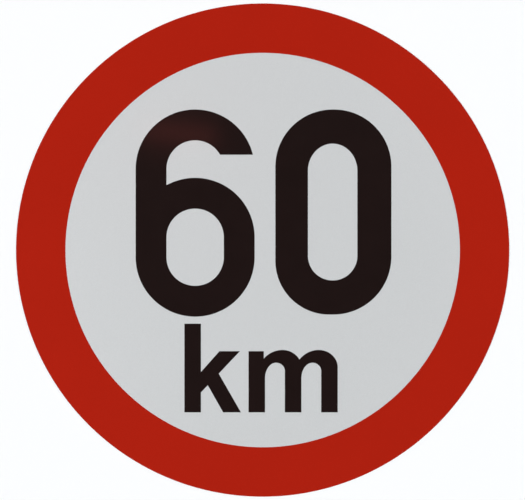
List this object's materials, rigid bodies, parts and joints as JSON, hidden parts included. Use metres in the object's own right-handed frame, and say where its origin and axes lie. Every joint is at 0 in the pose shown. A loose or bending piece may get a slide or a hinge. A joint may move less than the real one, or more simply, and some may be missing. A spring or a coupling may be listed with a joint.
{
  "type": "speed limit sticker",
  "caption": "Round self-adhesive reflective speed limit sticker with a red border and black figures, for the back of a trailer or a slow vehicle.",
  "frame": {"origin": "middle of the adhesive back, where the disc's centre line meets the surface it is stuck to", "axes": "+Z out of the printed face, +Y towards the top of the figures, +X to their right"},
  "size_m": [0.2, 0.2, 0.0002],
  "materials": {
    "reflective_film": "satin",
    "red_ink": "gloss",
    "black_ink": "gloss"
  },
  "bodies": {
    "root": {"reflective_film": "reflective_film", "red_border": "red_ink", "digit_six": "black_ink", "digit_zero": "black_ink", "letter_k": "black_ink", "letter_m": "black_ink"}
  },
  "joints": []
}
